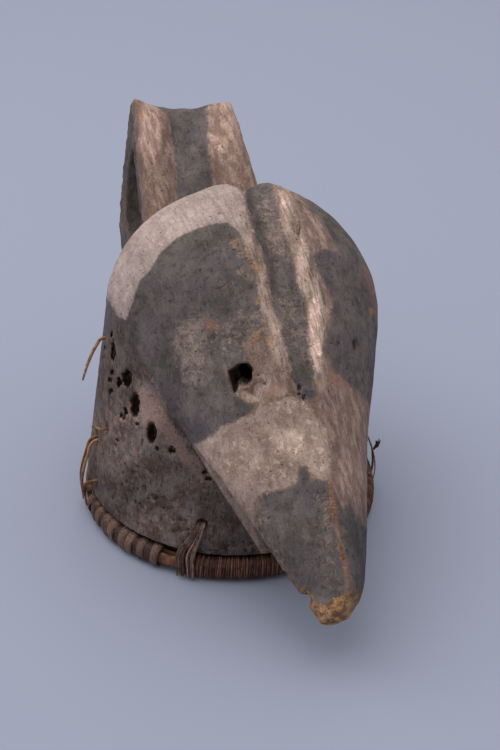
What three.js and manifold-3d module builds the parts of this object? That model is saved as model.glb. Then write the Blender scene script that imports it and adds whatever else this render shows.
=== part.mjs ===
import * as THREE from "three";
import { mergeVertices } from "three/addons/utils/BufferGeometryUtils.js";
import Module from "manifold-3d";

// A carved bird helmet mask, in millimetres. +Z is up, the beak points to -Y and the foot stands on z = 0.

// The cap: an oval cup, hollow from below, that narrows upwards.
const CAP_HALF_WIDTH = 103;
const CAP_HALF_LENGTH = 112;
const CAP_NARROWING = 0.21;
const CAP_SHOULDER = 150;
const CAP_TOP = 196;
const WALL = 12;
const FOOT_WALL = 9;
const RABBET_HEIGHT = 17;
const RABBET_DEPTH = 12;
const RABBET_SLOPE = 4;

// The hollow inside: its dome reaches up into the crown and a little way into the brow.
const HOLLOW_SHOULDER = 118;
const HOLLOW_TOP = 213;
const CAP_SIDES = 50;
const HOLLOW_SIDES = 40;
const BROW_HOLLOW = { x: 42, y: 48, z: 40, atY: -42, atZ: 134 };

// The head leans to +X as a hand-carved one does, about the line through the foot's middle.
const LEAN = THREE.MathUtils.degToRad(4);

// Stations from the beak's tip to the back of the skull. Each gives a point of the ridge line on top, a point
// of the jaw line at the side with its half width, and a point of the keel line beneath.
const STATIONS = [
  { ridge: [-213, 46], jaw: [8, -209, 37], keel: [-204, 30] },
  { ridge: [-213, 57], jaw: [13, -203, 41], keel: [-196, 29] },
  { ridge: [-212, 66], jaw: [19, -193, 46], keel: [-187, 31] },
  { ridge: [-194, 86], jaw: [28, -174, 58], keel: [-168, 40] },
  { ridge: [-167, 113], jaw: [39, -146, 75], keel: [-140, 54] },
  { ridge: [-125, 152], jaw: [54, -106, 96], keel: [-104, 72] },
  { ridge: [-84, 196], jaw: [77, -58, 124], keel: [-60, 92] },
  { ridge: [-46, 227], jaw: [92, -18, 148], keel: [-14, 110] },
  { ridge: [-4, 239], jaw: [90, 22, 152], keel: [26, 118] },
  { ridge: [38, 222], jaw: [74, 56, 148], keel: [56, 118] },
  { ridge: [74, 190], jaw: [44, 80, 144], keel: [78, 120] },
  { ridge: [92, 156], jaw: [10, 90, 142], keel: [90, 128] },
];
// Shares of the way from the tip to the back of the skull.
const TIP_LENGTH = 0.2;
const BEAK_ROOT = 0.32;
const BROW = 0.63;
const TIP_SKEW = 5;
const HEAD_ALONG = 34;
const HEAD_AROUND = 40;
const BEAK_ROUNDNESS = 1.35;
const SKULL_ROUNDNESS_LEFT = 2.35;
const SKULL_ROUNDNESS_RIGHT = 1.72;
const UNDERSIDE_ROUNDNESS = 1.8;

// The channel that runs from the crown down to the beak's root, between two low ribs.
const CHANNEL_HALF_WIDTH = 12;
const CHANNEL_DEPTH = 7;
const RIB_HALF_WIDTH = 7;
const RIB_HEIGHT = 2;
const CHANNEL_END = 0.47;
const CHANNEL_RUN_IN = 0.038;
const CHANNEL_FADE = [0.82, 0.95];
const CHANNEL_DRIFT = 4;
const COLUMNS_IN_CHANNEL = 4;

// The crest: a loop that rises behind the crown, seen from the side as a leaning band with a slot through it.
const CREST_HALF_WIDTH_TOP = 36;
const CREST_HALF_WIDTH_FOOT = 47;
const CREST_FOOT = 165;
const CREST_TOP = 257;
const CREST_SHIFT = -6;
const CREST_SIDE_DROP = 9;
const CREST_DISH = 12;
const CREST_DISH_BACK = 0.55;
const CREST_DISH_DOWN = 0.8;
const CREST_FRONT = [85, 125];
const CREST_DIP_AT = -0.12;
const CREST_DIP_HALF_WIDTH = 0.95;
const CREST_OUTLINE = [
  [60, 140],
  [94, 130],
  [116, 160],
  [126, 200],
  [131, 238],
  [130, 252],
  [122, 258],
  [112, 252],
  [84, 224],
  [58, 196],
  [40, 190],
];
const CREST_SLOT = [
  [64, 176],
  [88, 196],
  [112, 222],
  [117, 216],
  [111, 186],
  [98, 164],
  [76, 162],
];

// The eyes: a hole knocked through the brow on each side, towards the hollow. The right one is small.
const EYES = [
  { at: [-38, -103, 158], half: 7 },
  { at: [51, -86, 160], half: 4 },
];
const EYE_DEPTH = 50;
const EYE_AIM = [0, -48, 136];

// The rim: two canes laid side by side round the foot, in a sleeve of wrapped cane that is broken away in
// places. Angles are in degrees about the foot's middle, from +X towards +Y. Offsets run out from the rim.
const RIM_HALF_WIDTH = 98;
const RIM_HALF_LENGTH = 106;
const RIM_HEIGHT = 9.8;
const CANE_HALF_WIDTH = 1.9;
const CANE_HALF_HEIGHT = 5;
const CANE_GAP = 0.7;
const HOOP_STEPS = 40;
const SLEEVE_HALF_WIDTH = 5.9;
const SLEEVE_HALF_HEIGHT = 8.8;
const BORE_HALF_WIDTH = 4.7;
const BORE_HALF_HEIGHT = 5.6;
const STRIP_DEPTH = 0.9;
const STRIP_LEAN = 1.1;
const LEFT_BINDING = { from: -138, to: -184, strips: 12 };
const ROUND_BINDING = { from: 131, to: -128, strips: 38 };

// Holes burnt or cut through the cap's wall, where a fringe was once tied on, and smaller ones for the ties.
const FRINGE_HOLES = [
  { angle: -177, z: 137, wide: 4, high: 22 },
  { angle: -166, z: 121, wide: 3.5, high: 9 },
  { angle: -161, z: 126, wide: 6, high: 13 },
  { angle: -155, z: 113, wide: 6, high: 19 },
  { angle: -145, z: 100, wide: 6.5, high: 16 },
  { angle: -135, z: 92, wide: 6, high: 5 },
  { angle: -23, z: 120, wide: 6, high: 14 },
  { angle: -36, z: 101, wide: 6, high: 14 },
];
const FRONT_HOLE = { angle: -121, z: 42, wide: 10, high: 7 };
const LEFT_HOLE = { angle: 182, z: 34, wide: 5, high: 5 };
const STUB_HOLE = { angle: -174, z: 79, wide: 6, high: 6 };
const SIDE_CANE_HOLE = { angle: 175, z: 60, wide: 11, high: 14 };
const RIGHT_HOLE = { angle: -12, z: 40, wide: 5, high: 5 };
const LOOSE_CANE_HOLE = { angle: 170, z: 134, wide: 5, high: 5 };
const TIE_HOLES = [FRONT_HOLE, LEFT_HOLE, STUB_HOLE, SIDE_CANE_HOLE, RIGHT_HOLE, LOOSE_CANE_HOLE];
const LEFT_TIE_AT = 173;
const STRAND_RADIUS = 1.2;
const STRAND_SIDES = 6;

const wasm = await Module();
wasm.setup();

function toSolid(geometry) {
  const bare = geometry.clone();
  bare.deleteAttribute("normal");
  bare.deleteAttribute("uv");
  const merged = mergeVertices(bare, 1e-3);
  return new wasm.Manifold(
    new wasm.Mesh({
      numProp: 3,
      vertProperties: new Float32Array(merged.attributes.position.array),
      triVerts: new Uint32Array(merged.index.array),
    }),
  );
}

function toGeometry(solid) {
  const mesh = solid.getMesh();
  const geometry = new THREE.BufferGeometry();
  geometry.setAttribute("position", new THREE.BufferAttribute(mesh.vertProperties, 3));
  geometry.setIndex(new THREE.BufferAttribute(mesh.triVerts, 1));
  const flat = geometry.toNonIndexed();
  flat.computeVertexNormals();
  return flat;
}

// Moves every vertex of a geometry to the place that a function gives for it.
function reshape(geometry, place) {
  const position = geometry.attributes.position;
  const uv = geometry.attributes.uv;
  const vertex = new THREE.Vector3();
  for (let i = 0; i < position.count; i++) {
    vertex.fromBufferAttribute(position, i);
    const moved = place(vertex, uv.getX(i), uv.getY(i));
    position.setXYZ(i, moved.x, moved.y, moved.z);
  }
  return geometry;
}

function smoothstep(low, high, value) {
  return THREE.MathUtils.smoothstep(value, low, high);
}

// How wide the cap is at a height, as a share of its width at the foot.
function capScale(z) {
  const straight = 1 - CAP_NARROWING * Math.min(z, CAP_SHOULDER) / CAP_SHOULDER;
  if (z <= CAP_SHOULDER) return straight;
  const rise = Math.min(1, (z - CAP_SHOULDER) / (CAP_TOP - CAP_SHOULDER));
  return straight * Math.sqrt(1 - rise * rise);
}

// Turns a round lathe body into the oval of the cap.
function ovalLathe(profile, around) {
  const points = profile.map(([radius, height]) => new THREE.Vector2(radius, height));
  const lathe = new THREE.LatheGeometry(points, around);
  lathe.rotateX(Math.PI / 2);
  return reshape(lathe, (vertex) => {
    const radius = Math.hypot(vertex.x, vertex.y);
    if (radius < 1e-6) return vertex;
    const stretch = CAP_HALF_LENGTH - CAP_HALF_WIDTH;
    vertex.y += (vertex.y / radius) * stretch * Math.min(1, radius / CAP_HALF_WIDTH);
    return vertex;
  });
}

function capBody() {
  const profile = [[0, 0]];
  profile.push([CAP_HALF_WIDTH - RABBET_DEPTH, 0]);
  profile.push([CAP_HALF_WIDTH * capScale(RABBET_HEIGHT) - RABBET_DEPTH, RABBET_HEIGHT]);
  const ledge = RABBET_HEIGHT + RABBET_SLOPE;
  profile.push([CAP_HALF_WIDTH * capScale(ledge), ledge]);
  const heights = [0.33, 0.67, 1].map((share) => THREE.MathUtils.lerp(ledge, CAP_SHOULDER, share));
  heights.push(...[0.35, 0.65, 0.88].map((share) => THREE.MathUtils.lerp(CAP_SHOULDER, CAP_TOP, share)));
  heights.forEach((z) => profile.push([CAP_HALF_WIDTH * capScale(z), z]));
  profile.push([0, CAP_TOP]);
  return ovalLathe(profile, CAP_SIDES);
}

function hollowBody() {
  const foot = CAP_HALF_WIDTH - RABBET_DEPTH - FOOT_WALL;
  const shoulder = CAP_HALF_WIDTH * capScale(HOLLOW_SHOULDER) - WALL;
  const profile = [[0, -5]];
  profile.push([foot, -5]);
  profile.push([foot, 0]);
  profile.push([foot + 2, RABBET_HEIGHT]);
  profile.push([shoulder, HOLLOW_SHOULDER]);
  const dome = HOLLOW_TOP - HOLLOW_SHOULDER;
  const steps = 6;
  for (let i = 1; i < steps; i++) {
    const angle = (i / steps) * (Math.PI / 2);
    profile.push([shoulder * Math.cos(angle), HOLLOW_SHOULDER + dome * Math.sin(angle)]);
  }
  profile.push([0, HOLLOW_TOP]);
  return ovalLathe(profile, HOLLOW_SIDES);
}

const ridgeLine = new THREE.CatmullRomCurve3(STATIONS.map(({ ridge }) => new THREE.Vector3(0, ...ridge)));
const jawLine = new THREE.CatmullRomCurve3(STATIONS.map(({ jaw }) => new THREE.Vector3(...jaw)));
const keelLine = new THREE.CatmullRomCurve3(STATIONS.map(({ keel }) => new THREE.Vector3(0, ...keel)));

// A point of the head: along runs from the beak's tip to the nape, turn goes round from the crest line.
function headPoint(along, turn) {
  const ridge = ridgeLine.getPoint(along);
  const jaw = jawLine.getPoint(along);
  const keel = keelLine.getPoint(along);
  const middle = new THREE.Vector3(0, jaw.y, jaw.z);
  const half = turn <= 0.5 ? turn * 2 : (1 - turn) * 2;
  const side = turn <= 0.5 ? -1 : 1;
  const skull = smoothstep(BEAK_ROOT, BROW, along);
  const skullRoundness = side < 0 ? SKULL_ROUNDNESS_LEFT : SKULL_ROUNDNESS_RIGHT;
  const upper = THREE.MathUtils.lerp(BEAK_ROUNDNESS, skullRoundness, skull);
  const angle = sectionAngle(half, jaw.x, upper);
  const above = angle <= Math.PI / 2;
  const power = 2 / (above ? upper : UNDERSIDE_ROUNDNESS);
  const across = Math.pow(Math.max(0, Math.sin(angle)), power);
  const rise = Math.pow(Math.abs(Math.cos(angle)), power);
  const end = above ? ridge : keel;
  const point = middle.clone().lerp(end, rise);
  point.x = side * jaw.x * across;
  if (above) point.z += channelRelief(Math.abs(point.x), along);
  point.x += CHANNEL_DRIFT * smoothstep(BROW - 0.08, BROW + 0.11, along) * rise;
  point.x -= TIP_SKEW * (1 - smoothstep(0, TIP_LENGTH, along));
  return point;
}

// The angle round a section. Its first columns keep to the channel and its rib, the rest are spaced evenly.
function sectionAngle(half, halfWidth, roundness) {
  const share = COLUMNS_IN_CHANNEL / (HEAD_AROUND / 2);
  const core = Math.min(CHANNEL_HALF_WIDTH + RIB_HALF_WIDTH, halfWidth * 0.45);
  const angleAt = (x) => Math.asin(Math.pow(x / halfWidth, roundness / 2));
  if (half <= share) return angleAt((core * half) / share);
  const inner = angleAt(core);
  return inner + ((Math.PI - inner) * (half - share)) / (1 - share);
}

// The channel's floor lies below the head's surface, and a low rib stands on each side of it.
function channelRelief(x, along) {
  const begun = smoothstep(CHANNEL_END - CHANNEL_RUN_IN, CHANNEL_END + CHANNEL_RUN_IN, along);
  const present = begun * (1 - smoothstep(...CHANNEL_FADE, along));
  const floor = -CHANNEL_DEPTH * (1 - smoothstep(CHANNEL_HALF_WIDTH * 0.5, CHANNEL_HALF_WIDTH, x));
  const fromRib = (x - CHANNEL_HALF_WIDTH - RIB_HALF_WIDTH / 2) / RIB_HALF_WIDTH;
  const rib = RIB_HEIGHT * Math.exp(-fromRib * fromRib);
  return present * (floor + rib);
}

function headBody() {
  const ball = new THREE.SphereGeometry(1, HEAD_AROUND, HEAD_ALONG);
  return reshape(ball, (vertex, u, v) => {
    const pole = v < 1e-6 || v > 1 - 1e-6;
    if (pole) {
      const near = headPoint(1 - v, 0.25);
      return new THREE.Vector3(v > 0.5 ? -TIP_SKEW : 0, near.y, near.z);
    }
    return headPoint(1 - v, u);
  });
}

// The crest's band is thinner at its top, and its front is dished from side to side.
function crestBody() {
  const outline = new THREE.SplineCurve(CREST_OUTLINE.map(([y, z]) => new THREE.Vector2(y, z)));
  const shape = new THREE.Shape(outline.getPoints(24));
  const slot = new THREE.CatmullRomCurve3(CREST_SLOT.map(([y, z]) => new THREE.Vector3(y, z, 0)), true);
  const slotPoints = slot.getPoints(14).slice(0, -1).map((point) => new THREE.Vector2(point.x, point.y));
  shape.holes.push(new THREE.Path(slotPoints));
  const band = new THREE.ExtrudeGeometry(shape, { depth: 2, steps: 8, bevelEnabled: false });
  return reshape(band, (vertex) => {
    const across = vertex.z - 1;
    let y = vertex.x;
    let z = vertex.y;
    const height = THREE.MathUtils.clamp((z - CREST_FOOT) / (CREST_TOP - CREST_FOOT), 0, 1);
    const isSlot = slotPoints.some((point) => point.distanceTo(new THREE.Vector2(vertex.x, vertex.y)) < 1e-4);
    const front = isSlot ? 0 : smoothstep(...CREST_FRONT, z - y);
    const fromDip = THREE.MathUtils.clamp((across - CREST_DIP_AT) / CREST_DIP_HALF_WIDTH, -1, 1);
    const dish = CREST_DISH * Math.cos((Math.PI / 2) * fromDip) * front;
    y += dish * CREST_DISH_BACK;
    z -= dish * CREST_DISH_DOWN;
    z -= CREST_SIDE_DROP * height * (across + 1) / 2;
    const halfWidth = THREE.MathUtils.lerp(CREST_HALF_WIDTH_FOOT, CREST_HALF_WIDTH_TOP, height);
    return new THREE.Vector3(CREST_SHIFT + across * halfWidth, y, z);
  });
}

function eyeCut({ at, half }) {
  const mouth = new THREE.Vector3(...at);
  const inward = new THREE.Vector3(...EYE_AIM).sub(mouth).normalize();
  const pin = new THREE.CylinderGeometry(half * 1.25, half * 0.75, EYE_DEPTH, 8);
  pin.translate(0, -EYE_DEPTH * 0.2, 0);
  const turn = new THREE.Quaternion().setFromUnitVectors(new THREE.Vector3(0, -1, 0), inward);
  pin.applyQuaternion(turn);
  return pin.translate(mouth.x, mouth.y, mouth.z);
}

// A point on the cap's outer face, or out from it.
function capPoint(angleDeg, z, out) {
  const angle = THREE.MathUtils.degToRad(angleDeg);
  const radius = CAP_HALF_WIDTH * capScale(z);
  const length = radius * CAP_HALF_LENGTH / CAP_HALF_WIDTH;
  return new THREE.Vector3((radius + out) * Math.cos(angle), (length + out) * Math.sin(angle), z);
}

function wallHole({ angle, z, wide, high }) {
  const outer = capPoint(angle, z, 4);
  const inner = capPoint(angle, z, -2.2 * WALL);
  const length = outer.distanceTo(inner);
  const drill = new THREE.CylinderGeometry(1, 0.8, length, 6);
  drill.scale(wide / 2, 1, high / 2);
  drill.rotateZ(-Math.PI / 2);
  drill.rotateZ(Math.atan2(outer.y - inner.y, outer.x - inner.x));
  const middle = outer.add(inner).multiplyScalar(0.5);
  return drill.translate(middle.x, middle.y, middle.z);
}

// A point near the rim line: out is measured square to it, and z from the ground.
function rimPoint(angleDeg, out, z) {
  const angle = THREE.MathUtils.degToRad(angleDeg);
  const onLine = new THREE.Vector2(RIM_HALF_WIDTH * Math.cos(angle), RIM_HALF_LENGTH * Math.sin(angle));
  const outward = new THREE.Vector2(Math.cos(angle) / RIM_HALF_WIDTH, Math.sin(angle) / RIM_HALF_LENGTH);
  onLine.addScaledVector(outward.normalize(), out);
  return new THREE.Vector3(onLine.x, onLine.y, z);
}

function roundedSection(halfWidth, halfHeight, sides, shift = 0) {
  const points = [];
  for (let i = 0; i < sides; i++) {
    const angle = ((i + 0.5) / sides) * 2 * Math.PI;
    const x = Math.sign(Math.cos(angle)) * Math.pow(Math.abs(Math.cos(angle)), 0.55);
    const y = Math.sign(Math.sin(angle)) * Math.pow(Math.abs(Math.sin(angle)), 0.55);
    points.push(new THREE.Vector2(shift + x * halfWidth, y * halfHeight));
  }
  return points;
}

// One of the two bare canes, a closed hoop.
function rimCane(side) {
  const reference = 50;
  const middle = reference + side * (CANE_HALF_WIDTH + CANE_GAP / 2);
  const section = roundedSection(CANE_HALF_WIDTH, CANE_HALF_HEIGHT, 6, middle);
  section.push(section[0].clone());
  const hoop = new THREE.LatheGeometry(section, HOOP_STEPS);
  hoop.rotateX(Math.PI / 2);
  return reshape(hoop, (vertex) => {
    const angle = THREE.MathUtils.radToDeg(Math.atan2(vertex.y, vertex.x));
    return rimPoint(angle, Math.hypot(vertex.x, vertex.y) - reference, RIM_HEIGHT + vertex.z);
  });
}

// A stretch of wrapped cane with the bore for the two canes. Each strip is a low rib.
function sleeve({ from, to, strips }, stepsPerStrip = 2) {
  const shape = new THREE.Shape(roundedSection(SLEEVE_HALF_WIDTH, SLEEVE_HALF_HEIGHT, 8));
  const bore = [[-1, -1], [1, -1], [1, 1], [-1, 1]].map(
    ([x, y]) => new THREE.Vector2(x * BORE_HALF_WIDTH, y * BORE_HALF_HEIGHT),
  );
  shape.holes.push(new THREE.Path(bore));
  const steps = strips * stepsPerStrip;
  const straight = new THREE.ExtrudeGeometry(shape, { depth: 1, steps, bevelEnabled: false });
  return reshape(straight, (vertex) => {
    const step = Math.round(vertex.z * steps);
    const isOuter = Math.abs(vertex.x) > BORE_HALF_WIDTH + 0.1 || Math.abs(vertex.y) > BORE_HALF_HEIGHT + 0.1;
    const seam = stepsPerStrip > 1 && step % stepsPerStrip === 0;
    const shrink = isOuter && seam ? 1 - STRIP_DEPTH / SLEEVE_HALF_WIDTH : 1;
    const lean = stepsPerStrip > 1 ? (STRIP_LEAN * vertex.y) / SLEEVE_HALF_HEIGHT : 0;
    const angle = THREE.MathUtils.lerp(from, to, vertex.z) + lean;
    return rimPoint(angle, vertex.x * shrink, RIM_HEIGHT + vertex.y * (isOuter && seam ? 0.96 : 1));
  });
}

function strand(points) {
  const path = new THREE.CatmullRomCurve3(points);
  const ring = new THREE.EllipseCurve(0, 0, STRAND_RADIUS, STRAND_RADIUS).getPoints(STRAND_SIDES);
  const section = new THREE.Shape(ring.slice(0, -1));
  const steps = points.length * 2;
  return new THREE.ExtrudeGeometry(section, { steps, extrudePath: path, bevelEnabled: false });
}

// A tie that leaves a hole in the wall and runs down over the wrapped rim, once for each foot angle.
function tieOverRim(hole, footAngles) {
  const strands = footAngles.map((foot) =>
    strand([
      capPoint(hole.angle, hole.z, -6),
      capPoint(hole.angle, hole.z, 1.6),
      rimPoint((hole.angle + foot) / 2, 5, 33),
      rimPoint(foot, 7.8, 20),
      rimPoint(foot, 7.9, 12),
      rimPoint(foot, 6.6, 3.4),
    ]),
  );
  return strands.map(toSolid).reduce((whole, next) => whole.add(next));
}

// A tie round the two bare canes, with its end up to a hole in the wall.
function tieRoundCanes(hole, angle) {
  const ring = toSolid(sleeve({ from: angle + 1.3, to: angle - 1.3, strips: 1 }, 1));
  const end = strand([
    capPoint(hole.angle, hole.z, -6),
    capPoint(hole.angle, hole.z, 1.4),
    rimPoint((hole.angle + angle) / 2, 5.2, 27),
    rimPoint(angle + 0.5, 6.2, 18),
    rimPoint(angle, 6.1, 12),
  ]);
  return ring.add(toSolid(end));
}

// One of two canes that come out of a hole on the left, side by side, and bow out down to the rim.
function sideCane(side) {
  const { z } = SIDE_CANE_HOLE;
  const angle = SIDE_CANE_HOLE.angle + side * 1.3;
  return strand([
    capPoint(angle, z, -6),
    capPoint(angle, z - 1, 2),
    capPoint(angle, z - 11, 5),
    capPoint(angle - 1, z - 25, 6.5),
    rimPoint(angle - 4.5, 7, 20),
    rimPoint(angle - 6, 6.2, 5),
  ]);
}

function tieStub() {
  const { angle, z } = STUB_HOLE;
  return strand([
    capPoint(angle, z, -6),
    capPoint(angle, z, 1.5),
    capPoint(angle - 4, z - 3, 3),
    capPoint(angle - 9, z - 7, 3),
  ]);
}

function looseCaneEnd() {
  const { angle, z } = LOOSE_CANE_HOLE;
  const leave = capPoint(angle, z, 2);
  const steps = [[-4, -2, -3], [-10, -4, -12], [-16, -6, -26]];
  const outside = steps.map(([x, y, down]) => new THREE.Vector3(leave.x + x, leave.y + y, leave.z + down));
  return strand([capPoint(angle, z, -7), leave, ...outside]);
}

function rightTie() {
  const tuft = strand([
    rimPoint(-13, 6.4, 27),
    rimPoint(-14, 8.2, 31),
    rimPoint(-15.5, 9.4, 36),
    rimPoint(-17, 9.8, 40),
  ]);
  return tieOverRim(RIGHT_HOLE, [-12, -16]).add(toSolid(tuft));
}

function carvedMask() {
  const leaning = new THREE.Matrix4().makeRotationY(LEAN);
  const brow = new THREE.SphereGeometry(1, 20, 14);
  brow.scale(BROW_HOLLOW.x, BROW_HOLLOW.y, BROW_HOLLOW.z);
  brow.translate(0, BROW_HOLLOW.atY, BROW_HOLLOW.atZ);
  const added = [headBody().applyMatrix4(leaning), crestBody().applyMatrix4(leaning)];
  const removed = [hollowBody(), brow];
  removed.push(...EYES.map((eye) => eyeCut(eye).applyMatrix4(leaning)));
  removed.push(...[...FRINGE_HOLES, ...TIE_HOLES].map(wallHole));
  const whole = added.reduce((solid, body) => solid.add(toSolid(body)), toSolid(capBody()));
  return removed.reduce((solid, body) => solid.subtract(toSolid(body)), whole);
}

function piece(name, solid, colour, roughness) {
  const material = new THREE.MeshStandardMaterial({ color: colour, roughness, metalness: 0 });
  const mesh = new THREE.Mesh(toGeometry(solid), material);
  mesh.name = name;
  return mesh;
}

const CARVED_WOOD = [0x6b5d55, 0.85];
const CANE = [0x7d5a3c, 0.75];
const WRAP = [0x5b4636, 0.8];

const mask = new THREE.Group();
mask.add(piece("carved_mask", carvedMask(), ...CARVED_WOOD));
mask.add(piece("rim_cane_inner", toSolid(rimCane(-1)), ...CANE));
mask.add(piece("rim_cane_outer", toSolid(rimCane(1)), ...CANE));
mask.add(piece("rim_binding_left", toSolid(sleeve(LEFT_BINDING)), ...WRAP));
mask.add(piece("rim_binding_round", toSolid(sleeve(ROUND_BINDING, 1)), ...WRAP));
mask.add(piece("side_cane_front", toSolid(sideCane(1)), ...CANE));
mask.add(piece("side_cane_back", toSolid(sideCane(-1)), ...CANE));
mask.add(piece("tie_front", tieOverRim(FRONT_HOLE, [-123.5, -127.5]), ...CANE));
mask.add(piece("tie_left", tieRoundCanes(LEFT_HOLE, LEFT_TIE_AT), ...CANE));
mask.add(piece("tie_right", rightTie(), ...CANE));
mask.add(piece("tie_stub", toSolid(tieStub()), ...CANE));
mask.add(piece("loose_cane_end", toSolid(looseCaneEnd()), ...CANE));

// The part's origin is on the ground under the middle of the whole mask.
const box = new THREE.Box3().setFromObject(mask);
const middle = box.getCenter(new THREE.Vector3());
mask.position.set(-middle.x, -middle.y, 0);
const part = new THREE.Group();
part.add(mask);

export default part;
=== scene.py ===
"""A carved bird helmet mask with a cane-bound rim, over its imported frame. Metres, +Z up, beak to -Y."""

import math
import random

import bpy
import numpy as np
from mathutils import Matrix, Vector, noise


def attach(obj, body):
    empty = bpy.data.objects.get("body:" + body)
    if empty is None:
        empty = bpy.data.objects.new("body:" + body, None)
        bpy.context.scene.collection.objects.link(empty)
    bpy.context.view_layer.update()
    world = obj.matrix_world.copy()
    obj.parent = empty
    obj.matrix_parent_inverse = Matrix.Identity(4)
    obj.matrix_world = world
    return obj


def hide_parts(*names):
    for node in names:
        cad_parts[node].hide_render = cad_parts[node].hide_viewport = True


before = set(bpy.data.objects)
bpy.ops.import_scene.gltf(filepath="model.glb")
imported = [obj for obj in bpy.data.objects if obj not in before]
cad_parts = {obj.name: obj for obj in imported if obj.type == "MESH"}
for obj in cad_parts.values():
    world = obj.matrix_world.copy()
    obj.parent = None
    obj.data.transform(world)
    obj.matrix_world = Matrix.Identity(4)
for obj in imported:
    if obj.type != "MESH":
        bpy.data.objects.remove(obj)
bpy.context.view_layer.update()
MM = 0.001

# The photograph's frame and the camera that took it: above the beak, a little to the bird's right.
PHOTO_SIZE = (500, 750)
AZIMUTH = math.radians(-20)
ELEVATION = math.radians(31)
AIM = Vector((0.0300, 0.0729, 0.0714))
DISTANCE = 1.25
FOCAL_PIXELS = 1725
SENSOR = 36
PIXELS_PER_MM = 1.38
# From where to where a surface that turns towards the camera counts as shown by the photograph.
FACING = (-0.05, 0.2)

# The light: each lamp's place and size in metres and its power in watts, and the room's own glow.
SIDE_LAMP = ((-0.9, 0.1, 1.9), 2.4, 8)
OVERHEAD_LAMP = ((-0.12, 0.42, 1.9), 3.0, 31)
LAMP_COLOUR = (1.0, 0.985, 0.96)
LAMPS_AIM_AT = Vector((0, 0, 0.08))
ROOM_COLOUR = (0.96, 0.98, 1.0, 1)
ROOM_GLOW = 0.5
FLOOR_SIZE = 30

# Tones from 0 to 255 a channel. In each finish the first is its ground, and the others lie over it in turn.
FLOOR_TONE = (159, 164, 184)
BARE_WOOD = ((112, 90, 80), (138, 114, 103), (158, 136, 124))
SOOT = ((82, 75, 71), (95, 85, 87), (109, 99, 95), (64, 56, 53), (124, 109, 102))
CLAY = ((142, 117, 105), (172, 148, 136), (198, 175, 161), (126, 104, 93))
CLAY_STREAK = (112, 93, 84)
WHITE_CLAY = ((192, 178, 178), (146, 126, 118))
THIN_WASH = ((118, 95, 86), (158, 132, 121), (116, 94, 84))
WALL_WOOD = ((82, 65, 59), (106, 94, 91), (124, 104, 96), (50, 36, 31))
RAW_WOOD = ((92, 64, 44), (164, 124, 84), (112, 92, 82))
SCUFF = (148, 125, 114)
RED_EARTH = (146, 104, 88)
PINK_DUST = (140, 114, 104)
OCHRE = (164, 124, 90)
WORN_EDGE = (140, 110, 94)
GROOVE_DUST_AND_SHADE = (44, 33, 29)
HOLLOW_WOOD = (84, 66, 55)
BARK_FIBRE = ((76, 51, 43), (112, 75, 61), (142, 98, 76))
DUSTY_STRIP = ((74, 53, 46), (118, 92, 80), (158, 128, 110))
SPLIT_CANE = ((96, 62, 45), (142, 98, 68), (178, 136, 100))

# The cap's oval and the rim round its foot, repeated from the part's source, in millimetres and degrees.
FOOT_CENTRE = (0.27, 38.06, 0)
CAP_HALF_WIDTH = 103
CAP_HALF_LENGTH = 112
CAP_NARROWING = 0.21
CAP_SHOULDER = 150
CAP_TOP = 196
HEAD_LEAN = math.radians(4)
RIM_HALF_WIDTH = 98
RIM_HALF_LENGTH = 106
RIM_HEIGHT = 9.8
SLEEVE_HALF_WIDTH = 5.9
SLEEVE_HALF_HEIGHT = 8.8
ROUND_BINDING = (131, -128)
LEFT_BINDING = (-138, -184)
LEFT_TIE_AT = 173

# The holes that ties and canes come out of, also from the source: the angle round the foot, and the height.
FRONT_HOLE = (-121, 42)
RIGHT_HOLE = (-12, 40)
LEFT_HOLE = (182, 34)
STUB_HOLE = (-174, 79)
SIDE_CANE_HOLE = (175, 60)
LOOSE_CANE_HOLE = (170, 134)

# Where the hollow, the crest, the rabbet, the back of the head and the beak begin, in millimetres.
HOLLOW_MIDDLE = (0, 0, 110)
HOLLOW_UP_TO = 214
HOLLOW_BEHIND = -92
CREST_BEHIND = (59, 61)
CREST_ABOVE = (168, 174)
CREST_FRONT_ABOVE = (120, 123)
RABBET_BELOW = (21.5, 19.5)
BACK_BEHIND = (50, 62)
BEAK_AHEAD = -60
BEAK_EDGE_AHEAD = -120

# How finely the wood is carved, how far its facets are softened, and how many faces are kept.
CARVING_GRAIN = 1.2 * MM
MOST_SOFTENED = 0.4 * MM
KEPT_TRIANGLES = 186000

# The surface: how high or deep its marks go, and how broad they are, in millimetres.
TOOL_MARKS = (0.30, 13)
SMALL_TOOL_MARKS = (0.14, 5)
WALL_GRAIN = (0.25, 2.8)
WALL_LUMPS = (0.35, 4.2)
DEEP_WALL_LUMPS = 0.8
BROAD_ROT = (1.1, 6)
SMALL_ROT = (0.9, 3)
TIP_CHIPS = (0.9, 5)
CREST_WEAR = (0.5, 7)
EDGE_CHIPS = (1.6, 3.5)
MOST_PROUD = 0.35
# The eye's hollow and its opening: how deep they are in millimetres, and how many pixels their sides take.
EYE_FLOOR_PRESS = (6, 13)
EYE_OPENING_PRESS = (16, 3)

# In pixels: the half widths of painted lines, and how far the chipped edge reaches and the pits' edges stray.
SCRATCH_HALF_WIDTH = 1.3
CREST_EDGE_HALF_WIDTH = 2.2
RED_LINE_HALF_WIDTH = 1.9
RUST_HALF_WIDTH = 0.7
CHIPS_HALF_WIDTH = 2.4
CHIPS_REACH = 4
PIT_RAGGEDNESS = 1.6
# In pixels too: how far off the crown's line edges turn loose, and where clay turns streaky or white.
CLEAN_TO_LOOSE = (4, 14)
ABOVE_EYE = (392, 376)
WHITE_SIDE = (250, 236)
# A depth in millimetres that means that there is no paint.
NO_PAINT = -60

# The wrapping: how far apart its turns lie, half their width, and how far they lean from upright in degrees.
FINE_TURNS = (1.7, 0.85, 4)
WIDE_STRIPS = (8.6, 4.1, 9)
TURN_THICKNESS = 0.1
CORE_SHARE = 0.86
CORE_TINT = -0.2

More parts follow.
